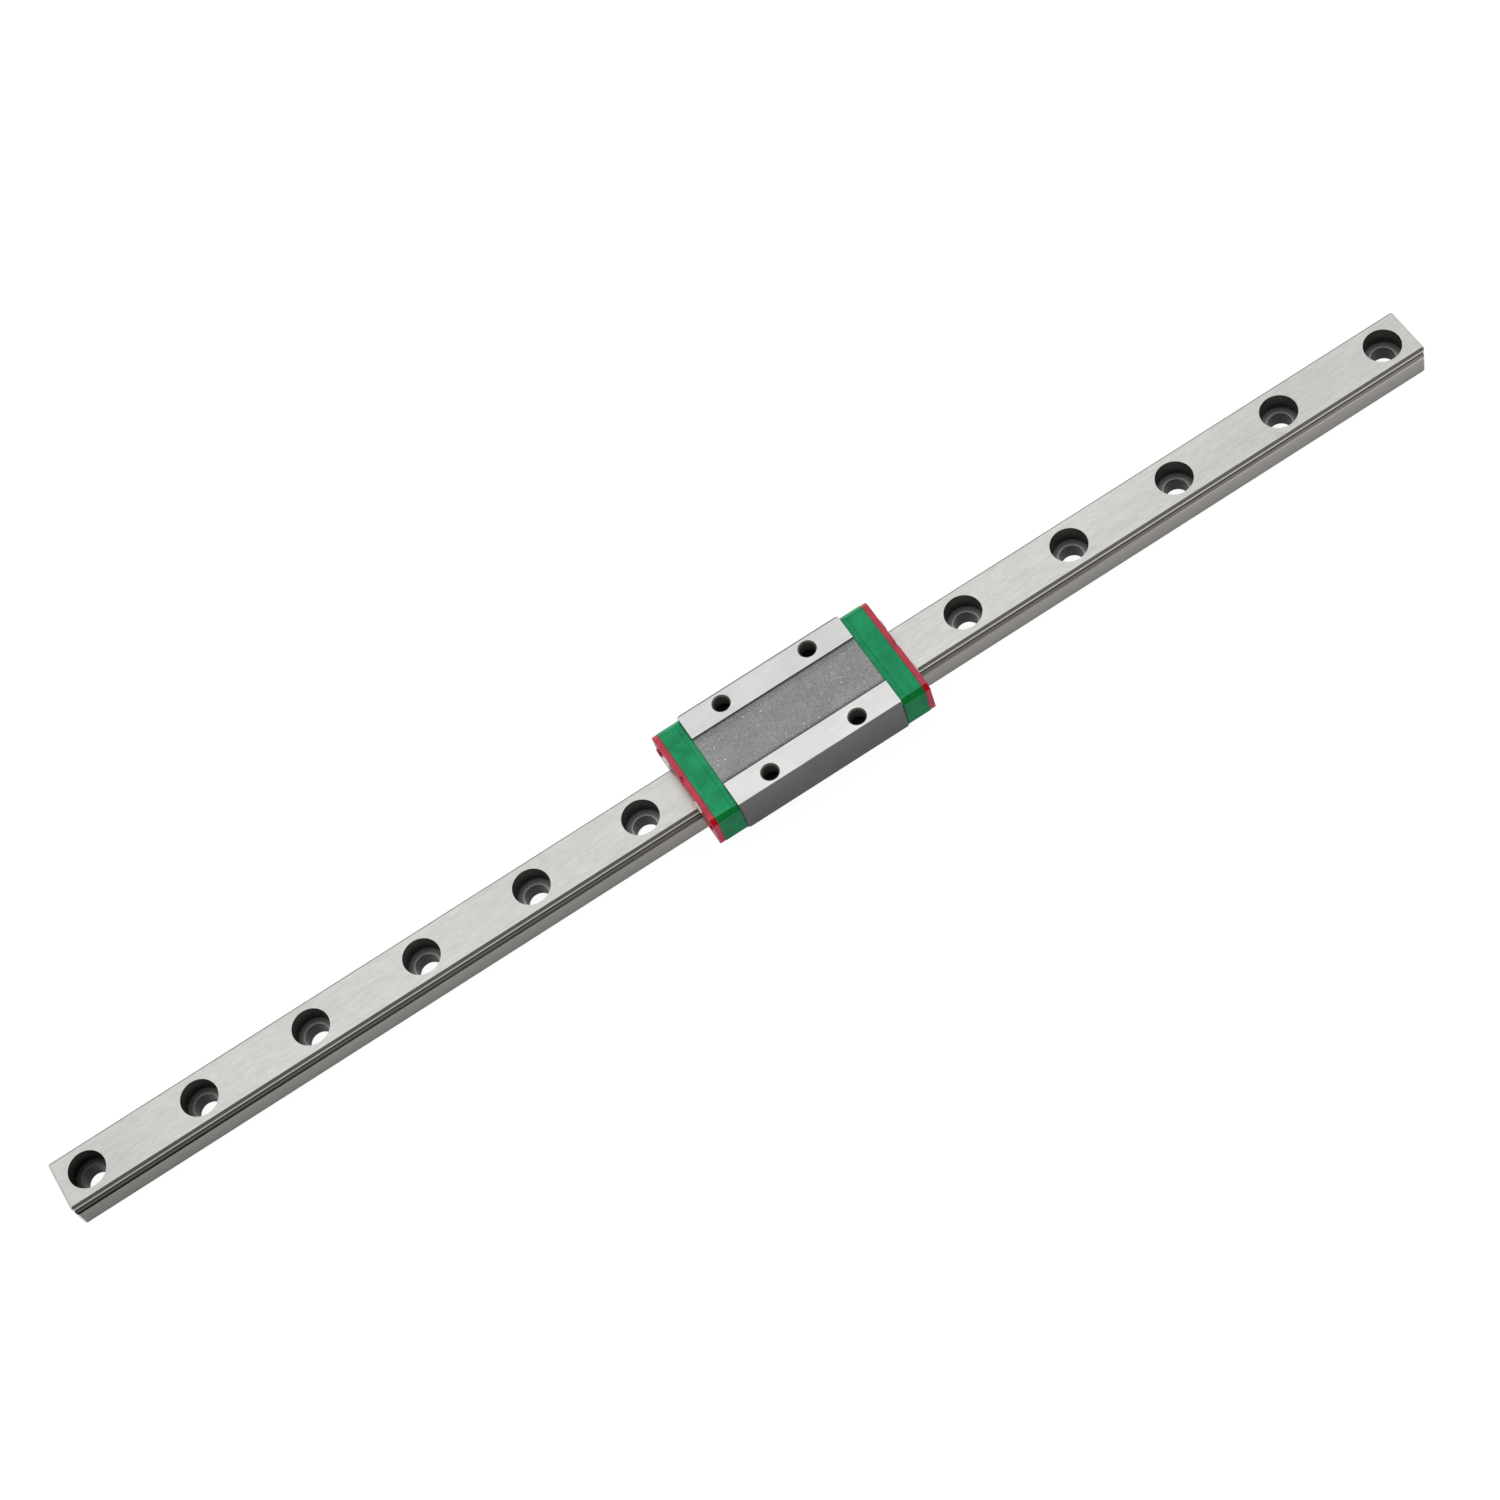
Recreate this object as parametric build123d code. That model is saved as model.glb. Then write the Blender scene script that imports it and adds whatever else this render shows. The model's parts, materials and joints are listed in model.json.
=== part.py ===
from build123d import *
import os
from math import asin, cos, floor, radians, sqrt

# Miniature linear guide: a ground steel rail and the ball block that runs on it.
# Millimetres. X runs along the rail, Y across it and Z up. The origin is the centre of the rail's base.

# Rail
RAIL_LENGTH = 250.0
RAIL_WIDTH = 9.0
RAIL_HEIGHT = 6.5
RAIL_TOP_BEVEL = 0.4
RAIL_BASE_BEVEL = 0.35
RAIL_END_BEVEL = 0.35

# Mounting holes of the rail, sunk for socket screws
HOLE_PITCH = 20.0
HOLE_END_DISTANCE = 5.0
HOLE_DIA = 3.9
SINK_DIA = 6.2
SINK_DEPTH = 3.5

# Balls and their raceways
BALL_DIA = 1.5875
BALL_ROW_Z = 4.585
BALL_STAND_OFF = 0.15
BALL_GAP = 0.012
BALL_SPACE = 0.02
RACE_CONFORMITY = 0.52
CONTACT_ANGLE = 45.0
TURN_RADIUS = 1.35
RETURN_GAP = 0.06
RELIEF_WIDTH = 0.42
RELIEF_DEPTH = 0.38

# Steel body of the block
BLOCK_X = 8.2
BLOCK_TOP = 10.0
BLOCK_BASE = 2.0
BODY_LENGTH = 29.9
BODY_WIDTH = 20.0
LAND_BEVEL = 0.55
BODY_BASE_BEVEL = 1.0
CORNER_BEVEL = 0.4
CHANNEL_WIDTH = 9.76
CHANNEL_DEPTH = 0.5
SLOT_SIDE_GAP = 0.3
SLOT_ROOF_GAP = 0.35

# Tapped holes in the top of the body
TAP_SPACING_X = 16.0
TAP_SPACING_Y = 15.0
TAP_DIA = 3.0
TAP_MOUTH_DIA = 3.1
TAP_DEPTH = 3.0

# Moulded end caps
CAP_LENGTH = 4.0
CAP_WIDTH = 19.44
CAP_TOP = 9.58
CAP_BASE = 2.2
CAP_BEVEL_ACROSS = 0.88
CAP_BEVEL_DOWN = 0.77
CAP_BASE_BEVEL = 0.8
CAP_STRIP_LENGTH = 0.95
CAP_STRIP_DROP = 0.08

# End seals that wipe the rail
SEAL_THICKNESS = 1.0
SEAL_INSET = 0.05
SEAL_GAP = 0.06
NOTCH_WIDTH = 1.1
NOTCH_DEPTH = 0.4
NOTCH_HEIGHT = 0.6
GREASE_DIA = 1.4
GREASE_Z = 8.1
GREASE_DEPTH = 3.0
KNOB_DIA = 1.4
KNOB_HEIGHT = 0.3
KNOB_SPACING = 16.0
KNOB_Z = 6.5

# Screws that hold a seal and a cap to the body
SCREW_SPACING = 9.7
SCREW_Z = 8.05
SCREW_DIA = 1.6
SCREW_REACH = 3.0
SCREW_BORE_GAP = 0.03
SCREW_HOLE_GAP = 0.1
HEAD_DIA = 2.2
HEAD_HEIGHT = 0.3

# Sizes that follow from those above
BALL_Y = RAIL_WIDTH / 2 + BALL_STAND_OFF
RACE_RADIUS = RACE_CONFORMITY * BALL_DIA
RACE_SHIFT = (RACE_RADIUS - BALL_DIA / 2 - BALL_GAP) * cos(radians(CONTACT_ANGLE))
RETURN_RADIUS = BALL_DIA / 2 + RETURN_GAP
RETURN_Y = BALL_Y + 2 * TURN_RADIUS
CAP_X = BODY_LENGTH / 2
SEAL_X = CAP_X + CAP_LENGTH
HEAD_X = SEAL_X + SEAL_THICKNESS
SIDES = (-1, 1)


def bevelled_outline(half_width, base, top, across, down, base_bevel):
    """Upright outline with its two upper corners cut by across and down, and its lower ones at 45 degrees."""
    right = [
        (half_width - base_bevel, base),
        (half_width, base + base_bevel),
        (half_width, top - down),
        (half_width - across, top),
    ]
    left = [(-y, z) for y, z in reversed(right)]
    return Polygon(*right, *left, align=None)


def along_x(section, start, length):
    """Bar with the given cross-section, from x = start."""
    return extrude(Plane.YZ.offset(start) * section, length)


def rod(start, end, y, z, diameter):
    """Round bar parallel to the rail, from x = start to x = end."""
    return Pos((start + end) / 2, y, z) * Rot(Y=90) * Cylinder(diameter / 2, end - start)


def raceway(side, outward, grow=0.0):
    """Pointed arch of two arcs that meet a ball at the contact angle.

    outward is -1 for the arch in the rail and 1 for the one in the block. grow thins the arch.
    """
    y = side * (BALL_Y - outward * RACE_SHIFT)
    lower = Pos(y, BALL_ROW_Z + RACE_SHIFT) * Circle(RACE_RADIUS - grow)
    upper = Pos(y, BALL_ROW_Z - RACE_SHIFT) * Circle(RACE_RADIUS - grow)
    return lower & upper


def relief(side, grow=0.0):
    """Narrow groove at the point of a rail raceway, left by the form grinding."""
    point_y = BALL_Y + RACE_SHIFT - RACE_RADIUS
    floor_y = point_y - RELIEF_DEPTH + grow
    height = RELIEF_WIDTH - 2 * grow
    return Pos(side * (floor_y + BALL_Y) / 2, BALL_ROW_Z) * Rectangle(BALL_Y - floor_y, height)


def rail_section(grow=0.0):
    """Cross-section of the rail. With grow it is that much larger all round, as a seal needs it."""
    half_width = RAIL_WIDTH / 2 + grow
    top = RAIL_HEIGHT + grow
    section = bevelled_outline(half_width, -grow, top, RAIL_TOP_BEVEL, RAIL_TOP_BEVEL, RAIL_BASE_BEVEL)
    for side in SIDES:
        section -= raceway(side, -1, grow)
        section -= relief(side, grow)
    return section


def hole_places():
    """Places of the rail's mounting holes along X, even about the middle."""
    gaps = floor((RAIL_LENGTH - 2 * HOLE_END_DISTANCE) / HOLE_PITCH + 1e-6)
    return [(index - gaps / 2) * HOLE_PITCH for index in range(gaps + 1)]


def rail():
    """Hardened rail: ground bar with two raceways and a row of sunk holes."""
    bar = along_x(rail_section(), -RAIL_LENGTH / 2, RAIL_LENGTH)
    trim = Pos(0, 0, RAIL_HEIGHT / 2) * Box(RAIL_LENGTH, RAIL_WIDTH, RAIL_HEIGHT)
    bar &= chamfer(trim.faces().filter_by(Axis.X).edges(), RAIL_END_BEVEL)
    holes = [Pos(x, 0, RAIL_HEIGHT / 2) * Cylinder(HOLE_DIA / 2, RAIL_HEIGHT) for x in hole_places()]
    sink_z = RAIL_HEIGHT - SINK_DEPTH / 2
    sinks = [Pos(x, 0, sink_z) * Cylinder(SINK_DIA / 2, SINK_DEPTH) for x in hole_places()]
    return bar - holes - sinks


def slot_section():
    """Way through the block for the rail: the rail's own outline with room at the sides and the top."""
    half_width = RAIL_WIDTH / 2 + SLOT_SIDE_GAP
    top = RAIL_HEIGHT + SLOT_ROOF_GAP
    return bevelled_outline(half_width, 0, top, RAIL_TOP_BEVEL, RAIL_TOP_BEVEL, RAIL_BASE_BEVEL)


def tapped_hole(x, y):
    """Blind hole in a land of the body at the thread's full width, its mouth opened by a 90 degree cone."""
    mouth = (TAP_MOUTH_DIA - TAP_DIA) / 2
    bore = Pos(x, y, BLOCK_TOP - TAP_DEPTH / 2) * Cylinder(TAP_DIA / 2, TAP_DEPTH)
    cone = Pos(x, y, BLOCK_TOP - mouth / 2) * Cone(TAP_DIA / 2, TAP_MOUTH_DIA / 2, mouth)
    return bore + cone


def block_body():
    """Hardened body: two ground lands, a sunk channel between them, raceways and ball return bores."""
    section = bevelled_outline(
        BODY_WIDTH / 2, BLOCK_BASE, BLOCK_TOP, LAND_BEVEL, LAND_BEVEL, BODY_BASE_BEVEL
    )
    section -= slot_section()
    section -= Pos(0, BLOCK_TOP) * Rectangle(CHANNEL_WIDTH, 2 * CHANNEL_DEPTH)
    for side in SIDES:
        section -= raceway(side, 1)
        section -= Pos(side * RETURN_Y, BALL_ROW_Z) * Circle(RETURN_RADIUS)
    body = along_x(section, -CAP_X, BODY_LENGTH)
    plan = chamfer(Rectangle(BODY_LENGTH, BODY_WIDTH).vertices(), CORNER_BEVEL)
    body &= extrude(plan, BLOCK_TOP)
    for x in SIDES:
        for y in SIDES:
            body -= tapped_hole(x * TAP_SPACING_X / 2, y * TAP_SPACING_Y / 2)
            depth = SCREW_REACH + SCREW_DIA / 2
            bore = rod(CAP_X - depth, CAP_X, y * SCREW_SPACING / 2, SCREW_Z, SCREW_DIA + 2 * SCREW_BORE_GAP)
            body -= bore if x > 0 else mirror(bore, about=Plane.YZ)
    return body


def cap_outline(inset=0.0):
    """Outer outline of an end cap, or of the seal that lies a little inside it."""
    return bevelled_outline(
        CAP_WIDTH / 2 - inset, CAP_BASE + inset, CAP_TOP - inset,
        CAP_BEVEL_ACROSS, CAP_BEVEL_DOWN, CAP_BASE_BEVEL,
    )


def ball_turn(side):
    """Half-round passage that takes the balls from a raceway into the return bore."""
    height = 2 * RETURN_RADIUS
    ring = Cylinder(TURN_RADIUS + RETURN_RADIUS, height) - Cylinder(TURN_RADIUS - RETURN_RADIUS, height)
    return Pos(CAP_X, side * (BALL_Y + TURN_RADIUS), BALL_ROW_Z) * ring


def screw_hole(side, start, end):
    """Clearance hole for an end screw through a cap or a seal."""
    return rod(start, end, side * SCREW_SPACING / 2, SCREW_Z, SCREW_DIA + 2 * SCREW_HOLE_GAP)


def end_cap():
    """Right-hand end cap: it turns the balls round and carries the screws and the grease port."""
    cap = along_x(cap_outline() - slot_section(), CAP_X, CAP_LENGTH)
    strip = Polygon(
        (CAP_X, CAP_TOP - CAP_STRIP_DROP), (CAP_X + CAP_STRIP_LENGTH, CAP_TOP), (CAP_X, CAP_TOP), align=None
    )
    cap -= extrude(Plane.XZ * strip, CAP_WIDTH / 2, both=True)
    for side in SIDES:
        cap -= ball_turn(side)
        cap -= screw_hole(side, CAP_X, SEAL_X)
    return cap - rod(SEAL_X - GREASE_DEPTH, SEAL_X, 0, GREASE_Z, GREASE_DIA)


def knob(side):
    """Stud moulded on the outer face of a seal."""
    return rod(SEAL_X, HEAD_X + KNOB_HEIGHT, side * KNOB_SPACING / 2, KNOB_Z, KNOB_DIA)


def end_seal():
    """Right-hand end seal: a thin plate whose lips follow the rail into its raceways."""
    seal = along_x(cap_outline(SEAL_INSET) - rail_section(SEAL_GAP), SEAL_X, SEAL_THICKNESS)
    notch_box = Box(2 * NOTCH_DEPTH, NOTCH_WIDTH, 2 * NOTCH_HEIGHT)
    seal -= Pos(HEAD_X, 0, CAP_TOP - SEAL_INSET) * notch_box
    seal -= rod(SEAL_X, HEAD_X, 0, GREASE_Z, GREASE_DIA)
    for side in SIDES:
        seal += knob(side)
        seal -= screw_hole(side, SEAL_X, HEAD_X)
    return seal


def end_screw(side):
    """Pan-head screw through a seal and a cap into the body, at the right-hand end."""
    y = side * SCREW_SPACING / 2
    head = rod(HEAD_X, HEAD_X + HEAD_HEIGHT, y, SCREW_Z, HEAD_DIA)
    return head + rod(CAP_X - SCREW_REACH, HEAD_X, y, SCREW_Z, SCREW_DIA)


def few_sided_ball():
    """One ball with 26 flat sides whose corners all lie on its true sphere."""
    edge = BALL_DIA / sqrt(5 + 2 * sqrt(2))
    cube = Box(*[edge * (1 + sqrt(2))] * 3)
    return chamfer(cube.edges(), edge / sqrt(2))


def ball_circuit(side):
    """All the balls of one side, evenly spaced round the loaded row, two turns and the return row."""
    loop = SlotCenterToCenter(BODY_LENGTH, 2 * TURN_RADIUS).wire()
    track = Pos(0, side * (BALL_Y + TURN_RADIUS), BALL_ROW_Z) * loop
    closest = 2 * TURN_RADIUS * asin((BALL_DIA + BALL_SPACE) / (2 * TURN_RADIUS))
    count = floor(track.length / closest)
    ball = few_sided_ball()
    return Compound([Pos(*(track @ (index / count))) * ball.solid() for index in range(count)])


def pair(name, piece):
    """The same piece for both ends of the block: as made for the right, and mirrored for the left."""
    return {f"{name}_right": piece, f"{name}_left": mirror(piece, about=Plane.YZ)}


def carriage():
    """Every piece that travels with the block, about the middle of its length."""
    pieces = {"block_body": block_body()}
    pieces |= pair("end_cap", end_cap())
    pieces |= pair("end_seal", end_seal())
    for name, side in (("near", -1), ("far", 1)):
        pieces |= pair(f"end_screw_{name}", end_screw(side))
        pieces[f"ball_circuit_{name}"] = ball_circuit(side)
    return pieces


os.makedirs("parts", exist_ok=True)
export_step(rail(), "parts/rail.step")
for name, piece in carriage().items():
    export_step(Pos(BLOCK_X, 0, 0) * piece, f"parts/{name}.step")
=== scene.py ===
import json
from math import asin, cos, floor, pi, radians, sin

import bpy
from bpy.props import FloatProperty, FloatVectorProperty, PointerProperty
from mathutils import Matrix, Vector

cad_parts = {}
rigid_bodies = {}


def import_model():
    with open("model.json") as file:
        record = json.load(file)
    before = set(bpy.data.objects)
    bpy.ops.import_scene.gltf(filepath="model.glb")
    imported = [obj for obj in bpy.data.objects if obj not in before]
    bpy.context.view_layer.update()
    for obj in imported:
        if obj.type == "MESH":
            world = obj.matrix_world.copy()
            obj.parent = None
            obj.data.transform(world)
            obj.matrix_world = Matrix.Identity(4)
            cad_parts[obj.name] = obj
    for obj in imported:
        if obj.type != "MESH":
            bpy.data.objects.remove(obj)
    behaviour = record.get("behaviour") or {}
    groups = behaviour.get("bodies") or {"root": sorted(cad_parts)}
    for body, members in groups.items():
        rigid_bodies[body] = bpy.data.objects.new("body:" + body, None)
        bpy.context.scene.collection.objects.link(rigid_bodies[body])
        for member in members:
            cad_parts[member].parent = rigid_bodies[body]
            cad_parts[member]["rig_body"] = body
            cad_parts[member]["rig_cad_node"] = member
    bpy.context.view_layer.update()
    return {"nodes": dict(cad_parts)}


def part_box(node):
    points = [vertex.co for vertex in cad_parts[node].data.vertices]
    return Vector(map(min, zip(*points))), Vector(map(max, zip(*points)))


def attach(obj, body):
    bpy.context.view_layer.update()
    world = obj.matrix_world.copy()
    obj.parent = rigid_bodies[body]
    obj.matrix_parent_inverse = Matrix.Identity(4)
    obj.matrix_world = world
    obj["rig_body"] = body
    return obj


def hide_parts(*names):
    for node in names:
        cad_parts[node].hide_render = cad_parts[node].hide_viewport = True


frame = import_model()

bl_info = {
    "name": "Miniature linear guide",
    "version": (1, 0, 0),
    "blender": (4, 5, 0),
    "location": "3D View > Sidebar > Linear guide",
    "description": "Finishes the rail, block, caps, seals, screws and balls of a miniature linear guide",
    "category": "Object",
}

MM = 0.001
SIDES = ("near", "far")
ENDS = {"left": -1, "right": 1}

rail_low, rail_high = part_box("rail")
body_low, body_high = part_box("block_body")
block_x = (body_low.x + body_high.x) / 2

# The rail's sunk holes stand on an even pitch about its middle.
HOLE_PITCH = 20 * MM
SINK_RADIUS = 3.1 * MM
SINK_DEPTH = 3.5 * MM
BORE_RADIUS = 1.95 * MM

# The rail's raceways: their middle, half their height, how far out they reach, and how far out their lower
# edge starts and is fully lit in painted light. The lip above them, with its painted highlight, starts at
# LIP_Z.
RACEWAY_Z = 4.585 * MM
RACEWAY_REACH = 0.84 * MM
RACEWAY_MOUTH = 4.49 * MM
RACEWAY_LOWER = (4.16 * MM, 4.26 * MM)
LIP_Z = 5.55 * MM

# The block's four tapped holes, about its middle.
TAP_SPACING_X = 16 * MM
TAP_SPACING_Y = 15 * MM
TAP_RADIUS = 1.5 * MM
TAP_DEPTH = 3 * MM

# A ridge of thread fills this share of its pitch, and some pitches stay free at the hole's two ends.
THREAD_SHARE = 0.8
THREAD_ROOM = 1.7

# The countersunk lip of a tapped hole is this many thread heights tall, and starts this far down.
LIP_SHARE = 1.8
LIP_DROP = 0.05 * MM

# Half the width of the channel between the block's lands
CHANNEL_REACH = 4.88 * MM

# Each cap has a crease along its top, this far from the body.
CAP_STRIP = 0.95 * MM
CAP_LENGTH = 4 * MM

# Screws: height of the head, bevel at the point, and size of the recess's floor against its mouth
HEAD_HEIGHT = 0.3 * MM
POINT_BEVEL = 0.18 * MM
RECESS_TAPER = (1, 0.45, 0.7)

# Half-round turns of the balls, and the space between two balls
TURN_RADIUS = 1.35 * MM
BALL_SPACE = 0.02 * MM

# Meshes: points this close are one, and so are faces this even. Steeper edges are broken or stay sharp.
WELD = 0.001 * MM
EVEN_ANGLE = radians(0.3)
BREAK_ANGLE = radians(28)
SHARP_ANGLE = radians(35)
SHARP_SCREW = radians(32)
SHARP_THREAD = radians(30)

# Nearly all of a noise lies between these two values.
NOISE_LOW = 0.25
NOISE_HIGH = 0.75

# A surface begins to face along an axis at the first share of its normal, and does so wholly at the second.
FACING = (0.86, 0.97)

# Places and sizes of the two lamps in metres, the floor's drop below the rail, and the strength of its white
KEY_PLACE = (0.25, 0.85, 1.3)
KEY_SIZE = 2.0
FILL_PLACE = (0.9, -0.5, 0.5)
FILL_SIZE = 0.6
FLOOR_DROP = 0.02 * MM
FLOOR_LIGHT = 1.1

# Brightness of the even light at the horizon, and the height from which it is white
SKY_LOW = 0.22
SKY_HEIGHT = 0.9
WHITE = (1.0, 1.0, 1.0)

# The camera's sensor in millimetres, and the nearest and farthest that it sees in metres
SENSOR_WIDTH = 36
VIEW_NEAR = 0.01
VIEW_FAR = 60


# Brightness of the rail's side by height in mm, as shares of its colour, all painted light and shade: a face
# darker towards the floor, the painted shadow at the start of the raceway's roof, a painted highlight on the
# lip over it and a dull bevel.
# Then that of a raceway by distance from the rail's middle in mm: painted shade in the relief groove, a track
# with painted light and shade, and a painted highlight at the mouth.
SIDE_BANDS = (
    (0.0, 0.6), (0.4, 0.62), (0.8, 0.74), (1.3, 0.84), (2.0, 0.89), (3.0, 1.01), (3.5, 1.06), (3.85, 1.06),
    (5.3, 0.02), (5.5, 0.02), (5.62, 0.33), (5.72, 1.3), (5.82, 1.95), (5.98, 1.95), (6.05, 1.1), (6.1, 0.6),
    (6.2, 0.4), (6.5, 0.42),
)
GROOVE_BANDS = (
    (3.6, 0.04), (3.88, 0.06), (3.93, 0.2), (3.98, 0.5), (4.03, 0.66), (4.08, 0.55), (4.14, 0.42),
    (4.19, 0.44), (4.26, 0.6), (4.32, 0.8), (4.4, 0.96), (4.48, 1.0), (4.5, 1.0),
)

# Height on the block's side in mm, and its brightness there: painted light, paler towards the upper edge
FLANK_BANDS = (
    (2.0, 0.75), (4.0, 0.81), (5.0, 0.865), (6.0, 0.93), (7.0, 0.97), (7.8, 1.0), (8.2, 1.03), (8.6, 1.07),
    (9.0, 1.14), (9.4, 1.18), (10.0, 1.15),
)

# Painted light and shade by place along the rail in mm, as shares of the colours of its top, its sides, its
# raceways and their lower edges, its lips with their painted highlight, and the floors and walls of its holes
TOP_RUN = ((-125, 0.93), (-60, 1.0), (40, 0.99), (125, 0.86))
SIDE_RUN = ((-125, 0.72), (-60, 0.85), (60, 0.95), (125, 1.0))
GROOVE_RUN = ((-125, 0.85), (-50, 1.0), (60, 1.05), (125, 1.42))
LOWER_RUN = (
    (-125, 0.06), (-100, 0.09), (-80, 0.18), (-50, 0.33), (-30, 0.43), (42, 1.25), (60, 1.2), (80, 1.95),
    (125, 2.0),
)
LIP_RUN = ((-125, 0.88), (-100, 0.89), (-50, 0.98), (-30, 1.0), (42, 1.09), (80, 1.14), (125, 1.1))
HOLE_RUN = ((-125, 0.25), (-110, 0.47), (-95, 0.68), (-60, 0.84), (-20, 1.0), (125, 1.0))
WALL_RUN = ((-125, 0.5), (-112, 0.7), (-100, 0.88), (-60, 0.9), (125, 0.97))

# Brightness of a seat by distance from the hole's axis, and of a sunk wall by depth, both in mm: a pale ring
# by the bore, then painted shade towards the sunk wall, and painted shade that deepens down the wall
SEAT_BANDS = ((1.95, 2.2), (2.15, 1.9), (2.25, 1.3), (2.5, 1.0), (2.8, 0.9), (3.1, 0.75))
WALL_BANDS = ((0.0, 0.57), (1.4, 0.53), (3.0, 0.36), (3.5, 0.3))

# Brightness of a tapped hole by depth in mm: a lit lip over threads in painted shade that deepens downwards
TAP_BANDS = ((0.0, 0.62), (0.2, 0.4), (0.3, 0.22), (0.8, 0.16), (3.0, 0.14))

# Brightness of the block's channel and lands by place across the block in mm: painted shade at the foot of
# the channel's near wall, painted light towards its far wall, and painted light that falls off from the near
# land to the far one
CHANNEL_RUN = (
    (-4.9, 0.42), (-4.38, 0.42), (-4.22, 0.68), (-4.05, 0.87), (-3.8, 0.97), (-3.4, 1.0), (3.7, 1.0),
    (3.86, 0.87), (4.3, 0.95), (4.5, 1.07), (4.6, 1.2), (4.7, 1.32), (4.9, 1.3),
)
LAND_RUN = ((-10, 1.05), (-5, 1.05), (5, 0.94), (10, 0.94))

# Brightness of the caps and seals by place across the block in mm, darker towards the far side, and the
# colours of their specks and of the painted highlight on their rounded edges
MOULDED_RUN = ((-10, 1.0), (10, 0.93))
SPECK_COLOUR = (0.6, 0.7, 0.62)
EDGE_HIGHLIGHT_COLOUR = (0.75, 0.8, 0.75)


# Sizes and colours that a user would change

def length(name, text, default):
    return FloatProperty(name=name, description=text, default=default, min=0, precision=6, subtype="DISTANCE")


def colour(name, text, default):
    return FloatVectorProperty(
        name=name, description=text, default=default, size=3, min=0, max=1, subtype="COLOR"
    )


def power(name, text, default):
    return FloatProperty(name=name, description=text, default=default, min=0, subtype="POWER")


class SteelSettings(bpy.types.PropertyGroup):
    edge_round: length("Edge round", "Width of the broken edges of the rail and block", 0.06 * MM)
    ground: colour("Ground steel", "Rail top, where the wheel has passed", (0.552, 0.546, 0.522))
    land: colour("Ground lands", "Lands of the block", (0.6, 0.6, 0.59))
    # side, drawn and flank are darker than ground and land partly for their duller finish and partly as
    # painted shade on faces that lean away from the light
    side: colour("Rail sides", "Sides of the rail below the raceways", (0.252, 0.241, 0.222))
    drawn: colour("Drawn steel", "Bevels that no wheel has touched", (0.135, 0.133, 0.13))
    channel: colour("Peened channel", "Floor of the block's sunk channel", (0.256, 0.259, 0.259))
    flank: colour("Block flanks", "Sides of the block", (0.1008, 0.103, 0.1))
    # scale, bore and tap are darkened as painted shade inside the holes; scale is also the dark skin that
    # hardening leaves there
    scale: colour("Hardening scale", "Dark skin left inside the holes", (0.14, 0.132, 0.118))
    seat: colour("Screw seats", "Faces that the screw heads press on", (0.29, 0.288, 0.285))
    bore: colour("Bores", "Walls of the screw holes", (0.0235, 0.0255, 0.0295))
    tap: colour("Tapped holes", "Oily threads of the block's holes", (0.19, 0.185, 0.165))
    streak_turn: FloatProperty(
        name="Streak turn", description="Turn of the grinding streaks from the rail's length",
        default=radians(1.5), subtype="ANGLE",
    )
    streak_length: length("Streak length", "Length of one grinding streak", 1.7 * MM)
    streak_width: length("Streak width", "Width of one grinding streak", 0.2 * MM)


class PlasticSettings(bpy.types.PropertyGroup):
    edge_round: length("Edge round", "Width of the rounded edges of the caps and seals", 0.12 * MM)
    # cap and seal are the plastics lit from above; the slope and side colours are the same plastics in
    # painted shade, darkest on the slopes
    cap: colour("Cap", "Moulded end caps, seen from above", (0.0192, 0.305, 0.124))
    cap_slope_shaded: colour("Cap slopes", "Polished slopes of the caps", (0.0, 0.173, 0.027))
    cap_side_shaded: colour("Cap sides", "Upright sides of the caps", (0.006, 0.21, 0.079))
    seal: colour("Seal", "End seals, seen from above", (0.51, 0.064, 0.093))
    seal_slope_shaded: colour("Seal slopes", "Polished slopes of the seals", (0.43, 0.0025, 0.0085))
    seal_side_shaded: colour("Seal sides", "Upright sides of the seals", (0.52, 0.062, 0.102))


class HardwareSettings(bpy.types.PropertyGroup):
    dome: length("Head dome", "How far the rim of a screw head is rounded over", 0.22 * MM)
    shank: length("Shank radius", "Radius of a screw's shank", 0.8 * MM)
    recess_reach: length("Recess reach", "Length of each arm of the cross recess", 0.62 * MM)
    recess_width: length("Recess width", "Width of each arm of the cross recess", 0.28 * MM)
    recess_depth: length("Recess depth", "Depth of the cross recess", 0.22 * MM)
    thread_pitch: length("Thread pitch", "Rise of one turn in the tapped holes", 0.5 * MM)
    thread_height: length("Thread height", "How far a thread stands in from the wall", 0.24 * MM)
    ball: length("Ball diameter", "Diameter of a ball", 1.5875 * MM)
    steel: colour("Bright steel", "Polished balls", (0.72, 0.72, 0.71))
    plating: colour("Plating", "Plated screws", (0.5, 0.49, 0.46))


class StudioSettings(bpy.types.PropertyGroup):
    floor_size: length("Floor size", "Side of the square floor", 24.0)
    floor_colour: colour("Floor", "Pale floor", (0.7, 0.7, 0.7))
    floor_glow: FloatProperty(
        name="Floor glow", description="Share of the floor that shows as plain white",
        default=0.86, min=0, max=1, subtype="FACTOR",
    )
    sky: FloatProperty(name="Sky", description="Strength of the even light", default=1.0, min=0)
    key: power("Key", "Power of the large soft lamp", 3.0)
    fill: power("Fill", "Power of the side lamp", 0.3)
    camera_place: FloatVectorProperty(
        name="Camera", description="Where the camera stands", subtype="TRANSLATION",
        default=(-0.047927, -0.253208, 0.452110),
    )
    camera_turn: FloatVectorProperty(
        name="Camera turn", description="Where the camera looks", subtype="EULER",
        default=(radians(27.9733), radians(11.3282), radians(-31.0343)),
    )
    lens: FloatProperty(name="Lens", description="Focal length in millimetres", default=79.327, min=1)


# Working on meshes

def pick(piece):
    """Leaves only this piece selected and active."""
    bpy.ops.object.select_all(action="DESELECT")
    piece.select_set(True)
    bpy.context.view_layer.objects.active = piece


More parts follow.
